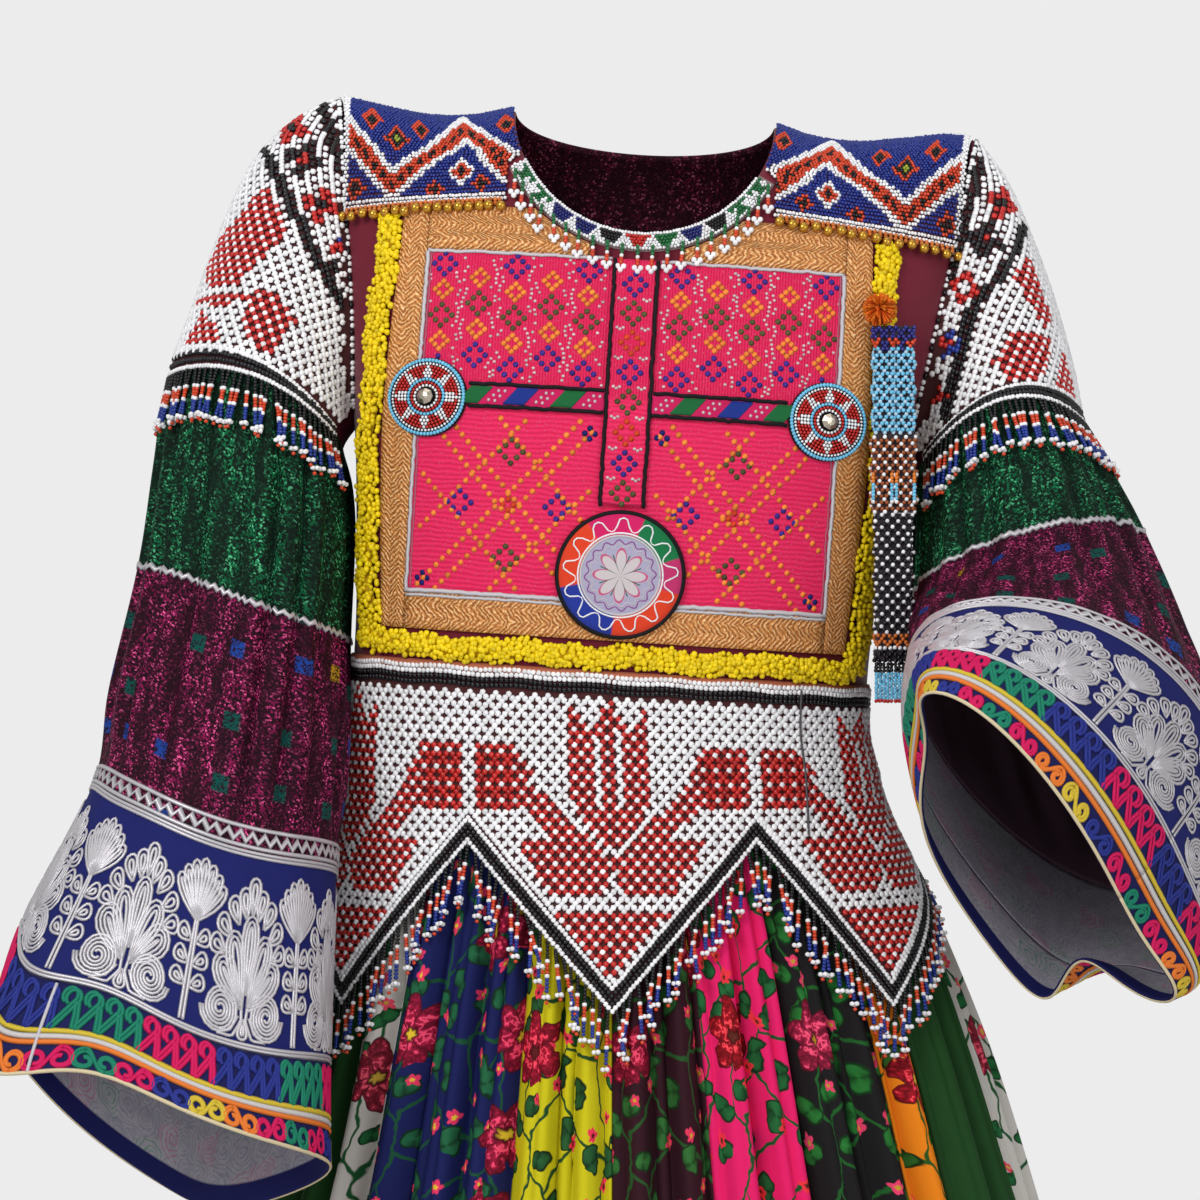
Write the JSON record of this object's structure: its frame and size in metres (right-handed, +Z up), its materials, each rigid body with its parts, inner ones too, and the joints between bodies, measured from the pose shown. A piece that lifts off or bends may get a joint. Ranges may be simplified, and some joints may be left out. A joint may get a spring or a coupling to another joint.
{
  "type": "nomad dress",
  "caption": "Worn-form nomad dress: embroidered and beaded bodice, wide netted-bead sleeves with embroidered cuffs, pointed bead waist panel and a full gathered patchwork skirt.",
  "frame": {"origin": "middle of the neck at shoulder height, where the wearer's shoulders carry the dress", "axes": "+Z up along the wearer, the front faces -Y, +X is the wearer's left"},
  "size_m": [0.86, 0.6775, 1.2822],
  "materials": {
    "crimson_cloth": "plain woven cotton",
    "maroon_lurex": "dark maroon cloth with a glitter thread",
    "rose_cloth": "ribbed cloth with counted embroidery",
    "gold_braid": "woven metallic herringbone braid",
    "yellow_beads": "opaque yellow glass beads on a cord",
    "glass_beads": "netted opaque glass seed beads",
    "black_cloth": "felt and cord",
    "dome_metal": "stamped metal dome, worn",
    "red_felt": "embroidered felt",
    "plum_lurex": "velvet with a pink glitter thread",
    "green_lurex": "velvet with a green glitter thread",
    "navy_felt": "felt with couched silver cord",
    "bright_embroidery": "dense machine embroidery in many colours",
    "print_maroon": "printed cotton, dark ground with flowers",
    "print_pink": "printed cotton, pink ground with roses",
    "print_black": "printed cotton, black ground with leaves",
    "print_orange": "printed cotton, orange ground",
    "green_velvet": "plain velvet",
    "print_white": "printed cotton, white ground with green leaves",
    "print_navy": "printed cotton, blue ground with flowers",
    "print_yellow": "printed cotton, yellow ground with flowers",
    "print_red": "printed cotton, red ground with flowers",
    "orange_tuft": "wool tuft",
    "sky_beads": "light blue glass seed beads",
    "amber_beads": "brown glass seed beads",
    "black_beads": "black and white glass seed beads"
  },
  "bodies": {
    "root": {"bodice_front": "crimson_cloth", "bodice_back": "maroon_lurex", "chest_panel": "rose_cloth", "braid_bottom": "gold_braid", "placket": "rose_cloth", "rosette": "red_felt", "neck_band": "glass_beads", "trim_bottom": "yellow_beads", "waist_panel": "glass_beads", "waist_fringe": "glass_beads", "strap_knot": "orange_tuft", "strap_blue_net": "sky_beads", "strap_brown_net": "amber_beads", "strap_black_net": "black_beads", "strap_fringe": "sky_beads", "braid_top_right": "gold_braid", "braid_right": "gold_braid", "trim_right": "yellow_beads", "tab_right": "black_cloth", "medallion_right": "glass_beads", "stud_right": "dome_metal", "yoke_right": "glass_beads", "sleeve_right_top": "plum_lurex", "sleeve_right_green_band": "green_lurex", "sleeve_right_plum_band": "plum_lurex", "sleeve_right_cuff_blue": "navy_felt", "sleeve_right_cuff_bright": "bright_embroidery", "sleeve_right_beads": "glass_beads", "sleeve_right_fringe": "glass_beads", "braid_top_left": "gold_braid", "braid_left": "gold_braid", "trim_left": "yellow_beads", "tab_left": "black_cloth", "medallion_left": "glass_beads", "stud_left": "dome_metal", "yoke_left": "glass_beads", "sleeve_left_top": "plum_lurex", "sleeve_left_green_band": "green_lurex", "sleeve_left_plum_band": "plum_lurex", "sleeve_left_cuff_blue": "navy_felt", "sleeve_left_cuff_bright": "bright_embroidery", "sleeve_left_beads": "glass_beads", "sleeve_left_fringe": "glass_beads", "skirt_01_maroon": "print_maroon", "skirt_02_pink": "print_pink", "skirt_03_black": "print_black", "skirt_04_orange": "print_orange", "skirt_05_green": "green_velvet", "skirt_06_white": "print_white", "skirt_07_navy": "print_navy", "skirt_08_yellow": "print_yellow", "skirt_09_pink": "print_pink", "skirt_10_maroon": "print_maroon", "skirt_11_orange": "print_orange", "skirt_12_black": "print_black", "skirt_13_red": "print_red", "skirt_14_green": "green_velvet", "skirt_15_white": "print_white", "skirt_16_navy": "print_navy", "skirt_17_yellow": "print_yellow"}
  },
  "joints": []
}
